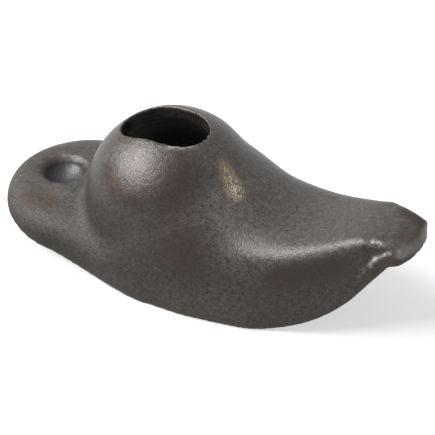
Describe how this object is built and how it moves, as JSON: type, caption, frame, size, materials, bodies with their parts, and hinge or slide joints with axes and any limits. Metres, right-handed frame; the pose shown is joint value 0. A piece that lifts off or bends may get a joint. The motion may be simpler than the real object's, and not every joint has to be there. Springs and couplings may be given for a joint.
{
  "type": "rocker arm",
  "caption": "Stamped steel rocker arm with a domed ball seat, a slotted stud hole, a pushrod cup and a curved valve tip.",
  "frame": {"origin": "centre of the pivot ball that the arm rocks on", "axes": "+X toward the valve tip, -X toward the pushrod cup, +Z to the side that faces the cylinder head in service; the arm lies on its side-wall rims with the dome up"},
  "size_m": [0.0895, 0.0386, 0.0291],
  "materials": {
    "rocker_arm_steel": "dark heat-treated steel, satin"
  },
  "bodies": {
    "root": {"rocker_arm": "rocker_arm_steel"}
  },
  "joints": []
}
